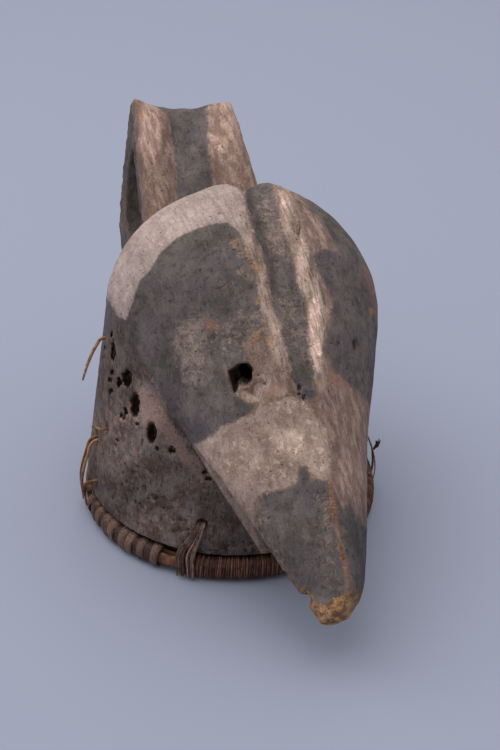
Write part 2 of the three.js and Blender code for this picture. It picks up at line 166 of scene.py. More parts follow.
# Borders on the photograph that two paints share, in its pixels.
CROWN_LINE = [
    (118, 318), (126, 320), (132, 303), (139, 281), (150, 270), (160, 253), (176, 238), (195, 229),
    (210, 224), (228, 222), (239, 231),
]
LOBE_EDGE = [(248, 251), (256, 266), (258, 285), (261, 307), (266, 327)]
CHANNEL_LEFT = [(240, 172), (247, 207), (252, 231), (262, 253), (269, 281), (271, 303), (278, 327)]
CHANNEL_RIGHT = [(317, 383), (313, 355), (309, 323), (304, 299), (295, 273), (289, 244), (280, 216)]

# Outlines and lines on the photograph, in its pixels: where the worn paints begin and end.
CROWN_CLAY = [
    (104, 288), (96, 270), (96, 200), (175, 165), *CHANNEL_LEFT, (286, 347), (292, 372), (284, 374),
    (274, 353), *reversed(LOBE_EDGE), *reversed(CROWN_LINE[1:]), (118, 316),
]
RIGHT_RIB_CLAY = [
    (274, 180), (288, 184), (297, 214), (301, 233), (310, 255), (318, 274), (333, 300), (328, 322),
    (322, 347), (331, 375), (322, 392), *CHANNEL_RIGHT,
]
BEAK_CLAY = [
    (222, 428), (233, 424), (238, 421), (256, 413), (258, 406), (268, 404), (279, 399), (292, 396),
    (306, 405), (318, 418), (328, 431), (331, 460), (331, 481), (311, 478), (308, 465), (298, 466),
    (297, 483), (287, 488), (270, 492), (258, 494), (252, 508), (256, 530), (262, 556), (246, 544),
    (228, 518), (209, 484), (190, 446), (213, 436),
]
EYE_CLAY = [(246, 374), (262, 374), (288, 372), (288, 392), (262, 404), (248, 402), (240, 396), (240, 384)]
TAN_PATCH = [(290, 182), (311, 211), (328, 231), (338, 250), (321, 250), (313, 257), (304, 244), (297, 214)]
MOTTLED_PATCH = [
    (178, 326), (190, 322), (205, 320), (218, 318), (222, 326), (212, 340), (208, 352), (206, 366),
    (200, 380), (186, 380), (178, 362), (176, 345),
]
CHANNEL_SCUFF = [
    (258, 196), (272, 190), (280, 216), (289, 244), (294, 262), (280, 262), (268, 240), (262, 215),
]
BROW_SCUFF = [(224, 322), (246, 312), (262, 308), (284, 362), (262, 372), (246, 352), (240, 344), (226, 345)]
LOW_CHANNEL_SCUFF = [
    (272, 300), (290, 290), (300, 305), (309, 330), (316, 366), (300, 352), (286, 345), (278, 325),
]
BEAK_EDGE_SCUFF = [
    (256, 492), (262, 506), (262, 530), (276, 556), (300, 590), (290, 590), (262, 556), (244, 520),
]
RIDGE_SCUFF = [(321, 500), (329, 496), (334, 540), (336, 570), (328, 572), (322, 535)]
BEAK_SIDE = [
    (331, 372), (350, 388), (369, 409), (380, 430), (380, 540), (366, 528), (357, 517), (350, 500),
    (343, 512), (336, 494), (331, 481), (331, 460), (328, 431), (318, 418), (322, 395),
]
LEFT_LOBE_SOOT = [
    *CROWN_LINE[1:], *LOBE_EDGE, (262, 340), (246, 346), (246, 360), (230, 368), (231, 380), (236, 395),
    (258, 407), (238, 421), (222, 428), (203, 444), (186, 446), (150, 388), (128, 352), (96, 330), (96, 276),
    (104, 289), (118, 317),
]
RIGHT_LOBE_SOOT = [
    (300, 180), (340, 190), (400, 280), (400, 420), (369, 404), (350, 384), (334, 371), (327, 350),
    (328, 328), (335, 303), (320, 274), (312, 257), (321, 250), (338, 250), (328, 231), (311, 211),
]
CHANNEL_SOOT = [
    *CHANNEL_LEFT, (286, 348), (289, 372), (299, 393), (308, 402), (317, 394), *CHANNEL_RIGHT, (270, 176),
]
BEAK_SOOT = [
    (258, 494), (270, 492), (287, 488), (297, 483), (299, 468), (306, 466), (311, 478), (326, 480),
    (331, 500), (335, 520), (340, 545), (344, 565), (347, 584), (344, 596), (334, 603), (322, 608),
    (303, 594), (290, 580), (272, 556), (250, 526), (258, 510),
]
BEAK_SIDE_SOOT = [
    (336, 494), (343, 512), (350, 500), (357, 517), (366, 528), (380, 540), (380, 592), (357, 597),
    (348, 594), (345, 565), (340, 545), (335, 520),
]
CREST_SOOT = [(168, 90), (204, 90), (208, 130), (211, 170), (216, 205), (178, 205), (176, 160), (170, 125)]
CREST_SCRATCH = [(208.6, 134.6), (213, 140), (217, 145), (223, 151)]
EYE_RED = [(262, 395), (265, 391), (272, 386), (281, 380), (286, 386), (280, 394), (277, 398), (261, 401)]
RIDGE_RED = [(323, 366), (332, 368), (347, 384), (350, 396), (336, 386), (326, 384)]
BEAK_RED = [
    (328, 476), (331, 476), (336, 502), (341, 542), (347, 562), (350, 580), (346, 582), (341, 560),
    (334, 520),
]
LOBE_RED = [(362, 262), (372, 276), (378, 300), (380, 322), (376, 322), (372, 300), (366, 280)]
BRIDGE_RED = [(206, 318), (217, 318), (219, 326), (210, 332), (205, 328)]
TIP_RED = [(342, 594), (352, 588), (358, 594), (352, 604), (341, 604)]
CREST_EDGE = [(134, 99), (139, 104), (141, 116)]
WALL_PINK = [
    (136, 390), (145, 386), (160, 406), (176, 430), (200, 464), (214, 486), (196, 478), (172, 450),
    (158, 432), (146, 424), (141, 405),
]
RAW_TIP = [
    (306, 588), (312, 596), (322, 605), (334, 600), (344, 595), (353, 589), (362, 590), (362, 640),
    (300, 640),
]
RIDGE_RUST = [(329, 476), (331, 500), (335, 520), (340, 545), (344, 565), (348, 584)]
CHIPPED_EDGE = [(268, 552), (280, 570), (290, 582), (304, 594)]

# The jaw line in pixels and, out of the photograph's sight, in millimetres: how far back, and how high.
JAW_LINE = [
    (60, 282), (102, 288), (109, 304), (117, 321), (128, 335), (141, 358), (155, 382), (165, 400), (185, 432),
    (205, 466), (235, 512), (258, 548), (330, 660), (20, 660), (20, 282),
]
JAW_HEIGHTS = ((-104, -65, -19, 29, 70), (92, 106, 121, 128, 134))

# Flecks of ochre: place and radius in pixels.
OCHRE_FLECKS = [
    (237, 243, 3), (247, 257, 4), (253, 266, 4), (240, 271, 3.4), (256, 337, 4), (268, 343, 4),
    (247, 346, 2.6), (373, 292, 2.4), (371, 312, 2.4), (262, 268, 2.4), (258, 300, 2.4), (251, 277, 2.4),
    (320, 384, 2.4), (262, 329, 2.4),
]

# Darker and lighter places on the photograph, partly painted light and shade and partly the paint's own tone:
# place, half width and half height in pixels, and brightness.
HEAD_PAINTED_LIGHT_AND_TONE = [
    (249, 204, 4, 24, 0.66), (257, 236, 3, 20, 0.75), (270, 212, 8, 36, 1.2), (281, 262, 7, 36, 1.12),
    (272, 285, 3, 16, 0.85), (297, 345, 8, 26, 1.06), (290, 392, 6, 6, 0.75), (307, 395, 9, 5, 0.75),
    (160, 225, 46, 22, 1.2), (120, 285, 12, 34, 1.26), (244, 226, 5, 12, 0.8), (262, 300, 8, 30, 1.14),
    (276, 338, 7, 24, 1.7), (286, 206, 6, 26, 1.7), (303, 262, 6, 34, 1.7), (315, 328, 7, 40, 2.8),
    (317, 362, 5, 18, 1.2), (228, 430, 10, 10, 0.95), (290, 444, 18, 16, 1.54), (261, 478, 10, 7, 0.8),
    (318, 452, 8, 24, 1.2), (240, 462, 20, 22, 1.38), (270, 472, 14, 8, 1.3), (350, 420, 14, 26, 1.22),
    (350, 472, 14, 26, 1.4), (352, 395, 14, 16, 1.05), (350, 345, 22, 44, 1.14), (345, 270, 22, 34, 1.14),
    (362, 552, 9, 48, 0.7), (290, 520, 26, 26, 1.32), (326, 540, 4, 18, 1.1), (222, 400, 16, 44, 1.34),
    (225, 355, 16, 16, 1.66), (152, 350, 16, 40, 1.22), (209, 460, 6, 30, 1.36), (315, 232, 12, 18, 1.26),
    (200, 398, 20, 26, 1.36), (190, 350, 16, 26, 1.4), (286, 300, 7, 22, 1.14), (272, 391, 9, 7, 1.16),
    (332, 607, 20, 20, 1.6), (230, 268, 26, 30, 1.08),
]
CREST_PAINTED_LIGHT_AND_TONE = [
    (150, 130, 11, 34, 2.3), (220, 128, 20, 30, 1.75), (156, 188, 10, 26, 1.4), (232, 175, 14, 24, 1.25),
    (188, 145, 12, 60, 1.66),
]
WALL_PAINTED_LIGHT_AND_TONE = [
    (120, 438, 30, 34, 1.74), (150, 402, 20, 26, 1.6), (165, 528, 46, 22, 1.62), (113, 365, 16, 40, 1.06),
    (190, 492, 22, 16, 1.2), (245, 535, 30, 26, 0.9),
]

# The eye's outlines, and the notch and pits: place, reach or half sizes in pixels, and depth in millimetres.
EYE_OPENING = [
    (227, 370), (236, 366), (241, 363), (248, 362), (253, 367), (255, 372), (247, 373), (241, 376),
    (239, 382), (239, 388), (236, 394), (233, 394), (229, 379),
]
EYE_FLOOR = [
    (238, 378), (248, 372), (257, 373), (266, 380), (264, 390), (261, 402), (250, 403), (241, 399),
    (234, 394),
]
BEAK_NOTCH = (304, 601, 9, 4.5)
HEAD_PITS = [
    (299, 388, 2.2, 2.6, 2.5), (298, 394, 1.6, 1.8, 2), (304, 397, 1.8, 3.2, 2.5), (299, 231, 1.6, 4.2, 1.6),
    (258.5, 374.5, 1.4, 1.2, 1.5), (264.7, 384.5, 1.2, 1.2, 1.5), (338, 344, 1.6, 2.4, 1.5),
    (331, 343, 1.4, 2, 1.2),
]
WALL_PITS = [
    (111.5, 334, 1.4, 4, 8), (113.5, 352, 2, 9, 8), (112, 372, 2, 2.5, 6), (110.5, 380, 1.8, 3, 5),
    (111, 391, 2, 3, 5), (119, 382, 2, 5, 8), (127.5, 378, 4.2, 8.5, 12), (135, 405, 3.8, 11.5, 12),
    (121, 415, 2, 2.5, 5), (126, 411, 1.8, 4, 6), (151.5, 433, 4.2, 9.5, 12), (123.5, 417.5, 1.6, 2, 4),
    (138, 424.5, 1.8, 2, 4), (157.5, 448, 1.6, 2, 3), (172, 451, 4, 2.6, 7), (101, 340, 1.4, 2, 3),
    (105.5, 348, 1.6, 2.4, 3), (104, 357, 1.6, 2.2, 3), (97, 440, 1.6, 2.4, 3), (117, 440, 1.6, 1.8, 3),
    (205, 472, 2.4, 2.4, 4), (203, 522.5, 5, 3.4, 7), (235, 500, 2.4, 2.2, 4), (208, 479, 3, 2, 4),
]


def view_axes():
    """The camera's right, up and backward directions."""
    back = Vector((
        math.sin(AZIMUTH) * math.cos(ELEVATION),
        -math.cos(AZIMUTH) * math.cos(ELEVATION),
        math.sin(ELEVATION),
    ))
    right = Vector((math.cos(AZIMUTH), math.sin(AZIMUTH), 0))
    return right, back.cross(right), back


def photo_place(points):
    """Where points of the part fall in the photograph's frame, in its pixels."""
    right, up, back = (np.array(axis) for axis in view_axes())
    eye = np.array(AIM) + back * DISTANCE
    away = points - eye
    depth = -(away @ back)
    across = PHOTO_SIZE[0] / 2 + FOCAL_PIXELS * (away @ right) / depth
    down = PHOTO_SIZE[1] / 2 - FOCAL_PIXELS * (away @ up) / depth
    return np.stack([across, down], 1)


def line_distance(places, line, closed=False):
    """How far places are from a line of points, in the same unit."""
    ends = line[1:] + line[:1] if closed else line[1:]
    nearest = np.full(len(places), 1e9)
    for start, end in zip(map(np.array, line), map(np.array, ends)):
        step = end - start
        share = np.clip(((places - start) @ step) / max(step @ step, 1e-9), 0, 1)
        gap = places - start - share[:, None] * step
        nearest = np.minimum(nearest, np.hypot(gap[:, 0], gap[:, 1]))
    return nearest


def depth_inside(places, outline):
    """How far places lie inside a closed outline; outside it the distance is negative."""
    inside = np.zeros(len(places), bool)
    x, y = places[:, 0], places[:, 1]
    for (x1, y1), (x2, y2) in zip(outline, outline[1:] + outline[:1]):
        if y1 == y2:
            continue
        crosses = (y1 > y) != (y2 > y)
        inside ^= crosses & (x < x1 + (y - y1) * (x2 - x1) / (y2 - y1))
    distance = line_distance(places, outline, closed=True)
    return np.where(inside, distance, -distance)


def depth_in_line(places, line, half_width):
    """How far places lie inside a painted line of some half width in pixels, in millimetres."""
    return (half_width - line_distance(places, line)) / PIXELS_PER_MM


def select(pieces):
    bpy.ops.object.select_all(action="DESELECT")
    for piece in pieces:
        piece.select_set(True)
    bpy.context.view_layer.objects.active = pieces[0]


def apply(piece, kind, **settings):
    """Adds a modifier, sets it and applies it."""
    select([piece])
    modifier = piece.modifiers.new(kind.lower(), kind)
    for name, value in settings.items():
        setattr(modifier, name, value)
    bpy.ops.object.modifier_apply(modifier=modifier.name)


def edit(piece, *steps):
    """Runs edit-mode steps on the whole of a piece."""
    select([piece])
    bpy.ops.object.mode_set(mode="EDIT")
    bpy.ops.mesh.select_all(action="SELECT")
    for step in steps:
        step()
    bpy.ops.object.mode_set(mode="OBJECT")


def merge_doubles():
    bpy.ops.mesh.remove_doubles(threshold=0.02 * MM)


def vertex_places(piece):
    values = np.zeros(len(piece.data.vertices) * 3, np.float32)
    piece.data.vertices.foreach_get("co", values)
    return values.reshape(-1, 3).astype(float)


def vertex_normals(piece):
    values = np.zeros(len(piece.data.vertices) * 3, np.float32)
    piece.data.vertex_normals.foreach_get("vector", values)
    return values.reshape(-1, 3).astype(float)


def move_vertices(piece, points):
    piece.data.vertices.foreach_set("co", points.astype(np.float32).ravel())
    piece.data.update()


def store(piece, name, values):
    """Keeps one number a vertex, for a material to read."""
    attribute = piece.data.attributes.new(name, "FLOAT", "POINT")
    attribute.data.foreach_set("value", np.asarray(values, np.float32))


def set_tint(piece, tint):
    """How light a strand, turn or cane is: from about 0, dark, to 1, light."""
    store(piece, "tint", np.full(len(piece.data.vertices), tint))


def copy_of_node(node, name):
    """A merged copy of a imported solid, to be worked on."""
    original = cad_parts[node]
    piece = original.copy()
    piece.data = original.data.copy()
    piece.name = name
    piece.data.materials.clear()
    bpy.context.scene.collection.objects.link(piece)
    edit(piece, merge_doubles)
    return piece


def smooth_shading(piece):
    piece.data.polygons.foreach_set("use_smooth", [True] * len(piece.data.polygons))


def ramp(values, low, high):
    """Runs smoothly from 0 at low to 1 at high."""
    share = np.clip((np.asarray(values) - low) / (high - low), 0, 1)
    return share * share * (3 - 2 * share)


def unevenness(points, size, seed, stretch=(1, 1, 1)):
    """Smooth noise from about -1 to 1, with lumps of about the given size in millimetres."""
    shift = Vector((seed * 17.3, seed * 5.1, seed * 9.7))
    scaled = points / (np.array(stretch) * size * MM)
    return np.array([noise.noise(Vector(point) + shift) for point in scaled])


def look_along(thing, way):
    thing.rotation_mode = "QUATERNION"
    thing.rotation_quaternion = way.to_track_quat("-Z", "Y")


def make_camera():
    right, up, back = view_axes()
    bpy.ops.object.camera_add(location=AIM + back * DISTANCE)
    camera = bpy.context.object
    look_along(camera, -back)
    camera.data.sensor_width = SENSOR
    camera.data.lens = FOCAL_PIXELS * SENSOR / PHOTO_SIZE[1]
    camera.data.clip_end = 50
    bpy.context.scene.camera = camera


def add_lamp(name, place, size, energy):
    bpy.ops.object.light_add(type="AREA", location=place)
    lamp = bpy.context.object
    lamp.name = name
    lamp.data.size = size
    lamp.data.energy = energy
    lamp.data.color = LAMP_COLOUR
    look_along(lamp, LAMPS_AIM_AT - lamp.location)


def make_light():
    """A soft lamp from the upper left, a broad one overhead, and an even room round them."""
    add_lamp("side_lamp", *SIDE_LAMP)
    add_lamp("overhead_lamp", *OVERHEAD_LAMP)
    room = bpy.context.scene.world or bpy.data.worlds.new("room")
    bpy.context.scene.world = room
    room.use_nodes = True
    background = room.node_tree.nodes["Background"]
    background.inputs["Color"].default_value = ROOM_COLOUR
    background.inputs["Strength"].default_value = ROOM_GLOW
    bpy.context.scene.view_settings.view_transform = "Standard"


def linear(tone):
    """A tone of the photograph, from 0 to 255 a channel, as a shader colour."""
    shares = [value / 255 for value in tone]
    return [*(s / 12.92 if s <= 0.04045 else ((s + 0.055) / 1.055) ** 2.4 for s in shares), 1]


class Recipe:
    """Writes the nodes of one material or node group, step by step."""

    def __init__(self, tree):
        self.tree = tree

    def fill(self, node, inputs):
        """Sets a node's inputs by name or place, each to a number, a colour or another node's output."""
        for name, value in inputs.items():
            if isinstance(value, bpy.types.NodeSocket):
                self.tree.links.new(value, node.inputs[name])
            else:
                node.inputs[name].default_value = value
        return node

    def node(self, kind, inputs, **settings):
        node = self.tree.nodes.new("ShaderNode" + kind)
        for name, value in settings.items():
            setattr(node, name, value)
        return self.fill(node, inputs)

    def group(self, tree, inputs):
        node = self.tree.nodes.new("ShaderNodeGroup")
        node.node_tree = tree
        return self.fill(node, inputs)

    def places(self):
        return self.node("TexCoord", {}).outputs["Object"]

    def carried(self, name):
        """A number that the mesh carries."""
        return self.node("Attribute", {}, attribute_name=name).outputs["Fac"]

    def stretched(self, places, stretch):
        scale = [1 / share for share in stretch]
        return self.node("Mapping", {"Vector": places, "Scale": scale}).outputs[0]

    def clouds(self, places, size, detail=3, roughness=0.55):
        """Noise from 0 to 1 with lumps of about the given size in millimetres."""
        inputs = {"Vector": places, "Scale": 1000 / size, "Detail": detail, "Roughness": roughness}
        return self.node("TexNoise", inputs).outputs["Fac"]

    def maths(self, operation, first, second=0.0, third=0.0):
        return self.node("Math", {0: first, 1: second, 2: third}, operation=operation).outputs[0]

    def times(self, first, second):
        return self.maths("MULTIPLY", first, second)

    def ramp(self, value, low, high, start=0.0, end=1.0):
        inputs = {"Value": value, "From Min": low, "From Max": high, "To Min": start, "To Max": end}
        return self.node("MapRange", inputs, interpolation_type="SMOOTHSTEP").outputs[0]

    def mix(self, share, first, second, blend="MIX"):
        inputs = {0: share, 6: first, 7: second}
        return self.node("Mix", inputs, data_type="RGBA", blend_type=blend).outputs[2]

    def bump(self, height, strength, reach):
        """Relief in the shader alone: where the height is 1 it stands out by the reach in millimetres."""
        inputs = {"Height": height, "Strength": strength, "Distance": reach * MM}
        return self.node("Bump", inputs).outputs[0]

    def fibres(self, stretch, size):
        """Grain along the wood or the fibre, from the shared group."""
        return self.group(FIBRE_GRAIN, {"Stretch": stretch, "Size": size}).outputs["Grain"]

    def patch(self, name, raggedness, softness, flakes, strength=1):
        """Where a paint lies, by the depth inside its outline that the mesh carries."""
        depth = self.carried(name)
        inputs = {"Depth": depth, "Raggedness": raggedness, "Softness": softness, "Flakes": flakes}
        mask = self.group(RAGGED_PATCH, inputs).outputs["Mask"]
        return mask if strength == 1 else self.times(mask, strength)

    def finish(self, tones, *layers):
        """Tones over a ground: each layer says by which pattern, between which values and how strongly."""
        colour = linear(tones[0])
        for tone, (pattern, low, high, most) in zip(tones[1:], layers):
            colour = self.mix(self.ramp(pattern, low, high, 0, most), colour, linear(tone))
        return colour


def new_group(name, inputs, outputs):
    """An empty node group with named sockets: floats or vectors in, and floats out."""
    tree = bpy.data.node_groups.new(name, "ShaderNodeTree")
    for label, value in inputs.items():
        kind = "NodeSocketVector" if isinstance(value, tuple) else "NodeSocketFloat"
        socket = tree.interface.new_socket(label, in_out="INPUT", socket_type=kind)
        socket.default_value = value
    for label in outputs:
        tree.interface.new_socket(label, in_out="OUTPUT", socket_type="NodeSocketFloat")
    entry = tree.nodes.new("NodeGroupInput")
    leave = tree.nodes.new("NodeGroupOutput")
    return tree, entry.outputs, leave.inputs


def ragged_patch_group():
    """A worn patch of paint: whole where its depth is well above zero, flaked and ragged at its edge."""
    inputs = {"Depth": 0.0, "Raggedness": 2.0, "Softness": 0.6, "Flakes": 0.1}
    tree, given, result = new_group("ragged patch", inputs, ["Mask"])
    recipe = Recipe(tree)
    places = recipe.places()
    broad = recipe.maths("SUBTRACT", recipe.clouds(places, 9, 3), 0.5)
    fine = recipe.maths("SUBTRACT", recipe.clouds(places, 2.6, 5, 0.72), 0.5)
    reach = recipe.times(given["Raggedness"], 2.4)
    moved = recipe.maths("MULTIPLY_ADD", recipe.maths("ADD", broad, fine), reach, given["Depth"])
    patch = recipe.ramp(moved, recipe.times(given["Softness"], -1), given["Softness"])
    chips = recipe.clouds(recipe.stretched(places, (1, 1.6, 1)), 1.7, 4, 0.62)
    edge = recipe.maths("SUBTRACT", 0.74, recipe.times(given["Flakes"], 0.3))
    whole = recipe.ramp(chips, edge, recipe.maths("ADD", edge, 0.08), 1, 0)
    tree.links.new(recipe.times(patch, whole), result["Mask"])
    return tree


def fibre_grain_group():
    """Grain that runs along one way: stretch is how far it runs on x, y and z."""
    inputs = {"Stretch": (1.0, 1.0, 8.0), "Size": 1.5}
    tree, given, result = new_group("fibre grain", inputs, ["Grain"])
    recipe = Recipe(tree)
    inputs = {0: recipe.places(), 1: given["Stretch"]}
    shrunk = recipe.node("VectorMath", inputs, operation="DIVIDE").outputs[0]
    scale = recipe.maths("DIVIDE", 1000, given["Size"])
    inputs = {"Vector": shrunk, "Scale": scale, "Detail": 4, "Roughness": 0.6}
    tree.links.new(recipe.node("TexNoise", inputs).outputs["Fac"], result["Grain"])
    return tree


RAGGED_PATCH = ragged_patch_group()
FIBRE_GRAIN = fibre_grain_group()


def new_material(name):
    material = bpy.data.materials.new(name)
    material.use_nodes = True
    shader = material.node_tree.nodes["Principled BSDF"]
    shader.inputs["Specular IOR Level"].default_value = 0.25
    return material, shader, Recipe(material.node_tree)


def make_floor():
    bpy.ops.object.select_all(action="DESELECT")
    bpy.ops.mesh.primitive_plane_add(size=FLOOR_SIZE)
    floor = bpy.context.object
    floor.name = "floor"
    material, shader, _ = new_material("pale studio paper")
    shader.inputs["Base Color"].default_value = linear(FLOOR_TONE)
    shader.inputs["Roughness"].default_value = 0.9
    floor.data.materials.append(material)


def painted_wood():
    """Dark carved wood under worn coats of soot, whitish clay and ochre, lightened and darkened by painted
    light and shade and by the paint's own tone.
    """
    material, shader, recipe = new_material("painted wood")
    places = recipe.places()
    broad = recipe.clouds(places, 34, 3, 0.5)
    lumps = recipe.clouds(places, 14, 5, 0.62)
    blotches = recipe.clouds(places, 5.2, 6, 0.76)
    mottle = recipe.clouds(places, 4.6, 5, 0.66)
    speckle = recipe.clouds(places, 1.3, 4, 0.72)
    pores = recipe.ramp(recipe.clouds(recipe.stretched(places, (1, 1, 1.5)), 1.9, 3, 0.5), 0.64, 0.74)
    along = recipe.fibres((1, 9, 4), 2.0)
    upright = recipe.fibres((1, 1, 4), 1.8)
    streaks = recipe.fibres((1, 2.5, 7), 3.6)

    bare = recipe.finish(BARE_WOOD, (lumps, 0.38, 0.62, 1), (along, 0.5, 0.68, 0.7))
    soot = recipe.finish(
        SOOT,
        (broad, 0.42, 0.58, 1),
        (lumps, 0.42, 0.62, 0.8),
        (mottle, 0.5, 0.7, 0.7),
        (along, 0.54, 0.72, 0.6),
    )
    clay = recipe.finish(CLAY, (lumps, 0.36, 0.6, 1), (mottle, 0.52, 0.68, 0.85), (along, 0.5, 0.68, 0.6))
    wall = recipe.finish(
        WALL_WOOD, (lumps, 0.4, 0.62, 1), (mottle, 0.48, 0.66, 0.8), (upright, 0.52, 0.7, 0.85)
    )
    thin = recipe.finish(THIN_WASH, (streaks, 0.4, 0.64, 1), (lumps, 0.5, 0.66, 0.6))
    raw = recipe.finish(RAW_WOOD, (mottle, 0.38, 0.6, 1), (lumps, 0.5, 0.66, 0.6))
    streaked = recipe.mix(recipe.ramp(along, 0.44, 0.6, 0, 0.75), clay, linear(CLAY_STREAK))
    whitened = recipe.mix(0.34, clay, linear(WHITE_CLAY[0]))
    whitened = recipe.mix(recipe.ramp(along, 0.46, 0.62, 0, 0.45), whitened, linear(WHITE_CLAY[1]))
    clay = recipe.mix(recipe.carried("streaky"), clay, streaked)
    clay = recipe.mix(recipe.carried("white"), clay, whitened)

    # The soot and clay have clean edges along the crown and loose ones elsewhere.
    loose = recipe.carried("loose")
    ragged = recipe.maths("MULTIPLY_ADD", loose, 2.4, 0.9)
    soft = recipe.maths("MULTIPLY_ADD", loose, 0.5, 1.0)
    rubbed = recipe.ramp(blotches, 0.42, 0.62, 0.08, 0.76)
    bulge = recipe.carried("bulge")
    worn = recipe.times(recipe.ramp(bulge, 0.12, 0.5), recipe.ramp(mottle, 0.42, 0.6))
    # Grooves are darkened, partly as dust and partly as painted shade, and so are the pores.
    dust_and_shade_in_grooves = recipe.maths("MAXIMUM", recipe.ramp(bulge, -0.06, -0.5), pores)
    coats = (
        (recipe.patch("thin", 4.5, 1.5, 0.5), thin),
        (recipe.patch("soot", ragged, soft, 0.2), soot),
        (recipe.patch("clay", ragged, soft, 0.4), clay),
        (recipe.patch("scuffed", 10, 6, 0.5, rubbed), linear(SCUFF)),
        (recipe.patch("red", 2.5, 1.5, 0.3, 0.52), linear(RED_EARTH)),
        (recipe.patch("wall", 0.8, 0.5, 0), wall),
        (recipe.patch("wall_pink", 5, 3, 0.5, 0.75), linear(PINK_DUST)),
        (recipe.patch("raw", 3.4, 0.8, 0.35), raw),
        (recipe.patch("ochre", 6, 2.2, 0.6, 0.62), linear(OCHRE)),
        (recipe.times(worn, 0.45), linear(WORN_EDGE)),
        (recipe.times(dust_and_shade_in_grooves, 0.7), linear(GROOVE_DUST_AND_SHADE)),
        (recipe.carried("inside"), linear(HOLLOW_WOOD)),
    )
    colour = bare
    for where, tone in coats:
        colour = recipe.mix(where, colour, tone)
    # The colour is multiplied by the painted light and shade that the mesh carries, with a fine speckle.
    shade = recipe.times(recipe.ramp(speckle, 0.25, 0.75, 0.76, 1.2), recipe.carried("shade"))
    grey = recipe.node("CombineColor", {0: shade, 1: shade, 2: shade}).outputs[0]

    relief = recipe.maths("MULTIPLY_ADD", mottle, 0.6, recipe.times(speckle, 0.45))
    furrows = recipe.times(upright, 0.8)
    relief = recipe.maths("MULTIPLY_ADD", furrows, recipe.carried("rough"), relief)
    relief = recipe.maths("MULTIPLY_ADD", pores, -0.5, relief)
    recipe.fill(shader, {
        "Base Color": recipe.mix(1.0, colour, grey, "MULTIPLY"),
        "Roughness": recipe.ramp(mottle, 0.3, 0.7, 0.68, 0.92),
        "Normal": recipe.bump(relief, 0.8, 0.9),
    })
    return material


def soften_facets(piece, most):
    """Smooths a surface, but moves no point further than the given distance, so that edges stay."""
    before = vertex_places(piece)
    apply(piece, "SMOOTH", factor=0.5, iterations=50)
    moved = vertex_places(piece) - before
    length = np.linalg.norm(moved, axis=1)
    share = np.minimum(1, most / np.maximum(length, 1e-9))
    move_vertices(piece, before + moved * share[:, None])


def store_bulge(piece):
    """How far each point stands out of the surface round it, in millimetres: edges above 0, grooves below."""
    before = vertex_places(piece)
    normals = vertex_normals(piece)
    apply(piece, "SMOOTH", factor=0.5, iterations=16)
    bulge = ((before - vertex_places(piece)) * normals).sum(1) / MM
    move_vertices(piece, before)
    store(piece, "bulge", bulge)


def mirrored(points):
    """The same places on the other side of the head's leaning middle plane."""
    x, y, z = (points / MM - np.array(FOOT_CENTRE)).T
    turn, rise = math.cos(HEAD_LEAN), math.sin(HEAD_LEAN)
    straight_x, straight_z = x * turn - z * rise, x * rise + z * turn
    flipped = np.stack([straight_z * rise - straight_x * turn, y, straight_x * rise + straight_z * turn], 1)
    return (flipped + np.array(FOOT_CENTRE)) * MM


class Carving:
    """The places of a mesh's points on the mask, in the part's frame and in the photograph's."""

    def __init__(self, piece):
        self.points = vertex_places(piece)
        self.normals = vertex_normals(piece)
        self.back = np.array(view_axes()[2])
        self.x, self.y, self.z = (self.points / MM - np.array(FOOT_CENTRE)).T
        ahead = mirrored(self.points + self.normals * MM)
        behind = mirrored(self.points)
        self.here = photo_place(self.points)
        self.over_there = photo_place(behind)
        self.seen = ramp(self.normals @ self.back, *FACING)
        self.seen_mirrored = ramp(((ahead - behind) / MM) @ self.back, *FACING)
        height = np.clip(self.z, 0, CAP_TOP - 1)
        rise = np.clip((height - CAP_SHOULDER) / (CAP_TOP - CAP_SHOULDER), 0, 1)
        narrowing = 1 - CAP_NARROWING * np.minimum(height, CAP_SHOULDER) / CAP_SHOULDER
        cap_radius = CAP_HALF_WIDTH * narrowing * np.sqrt(1 - rise * rise)
        self.out = np.hypot(self.x, self.y * CAP_HALF_WIDTH / CAP_HALF_LENGTH) - cap_radius
        inward = np.array(HOLLOW_MIDDLE) - np.stack([self.x, self.y, self.z], 1)
        inward /= np.linalg.norm(inward, axis=1)[:, None]
        faces_in = (self.normals * inward).sum(1)
        within = (self.out < -3) & (self.z < HOLLOW_UP_TO) & (self.y > HOLLOW_BEHIND)
        self.inside = ((faces_in > 0.1) & within).astype(float)
        self.crest = ramp(self.y, *CREST_BEHIND) * ramp(self.z, *CREST_ABOVE)
        straight_height = self.x * math.sin(HEAD_LEAN) + self.z * math.cos(HEAD_LEAN)
        self.crest_front = ramp(straight_height - self.y, *CREST_FRONT_ABOVE) * self.crest
        self.in_rabbet = ramp(self.z, *RABBET_BELOW) * ramp(self.out, -1, -3) * (1 - self.inside)

    def by_photo(self, measure):
        """A measure of photo places: a point's own where the photo shows it, else its mirror place's."""
        straight = measure(self.here)
        return straight * self.seen + measure(self.over_there) * (1 - self.seen)

    def depth(self, *outlines):
        """How far points lie inside the nearest of some outlines, in millimetres."""
        def measure(places):
            return np.max([depth_inside(places, outline) for outline in outlines], 0) / PIXELS_PER_MM
        return self.by_photo(measure)

    def wall_depth(self):
        """How far points lie below the jaw line, on the cap's own wall, in millimetres."""
        below = self.depth(JAW_LINE)
        limit = np.interp(self.y, *JAW_HEIGHTS) - self.x * math.sin(HEAD_LEAN) + 3 * np.sin(self.y / 11)
        out_of_sight = np.maximum(ramp(self.y, -10, 15), ramp(self.x, 5, 20))
        below = below * (1 - out_of_sight) + (limit - self.z) * out_of_sight
        return np.minimum(below, 7 - np.abs(self.out))


def press(carving, outline, depth, slope, where):
    """How deep an outlined hollow is pressed, in millimetres: its sides slope in from the outline."""
    return ramp(depth_inside(carving.here, outline), 0, slope) * depth * where


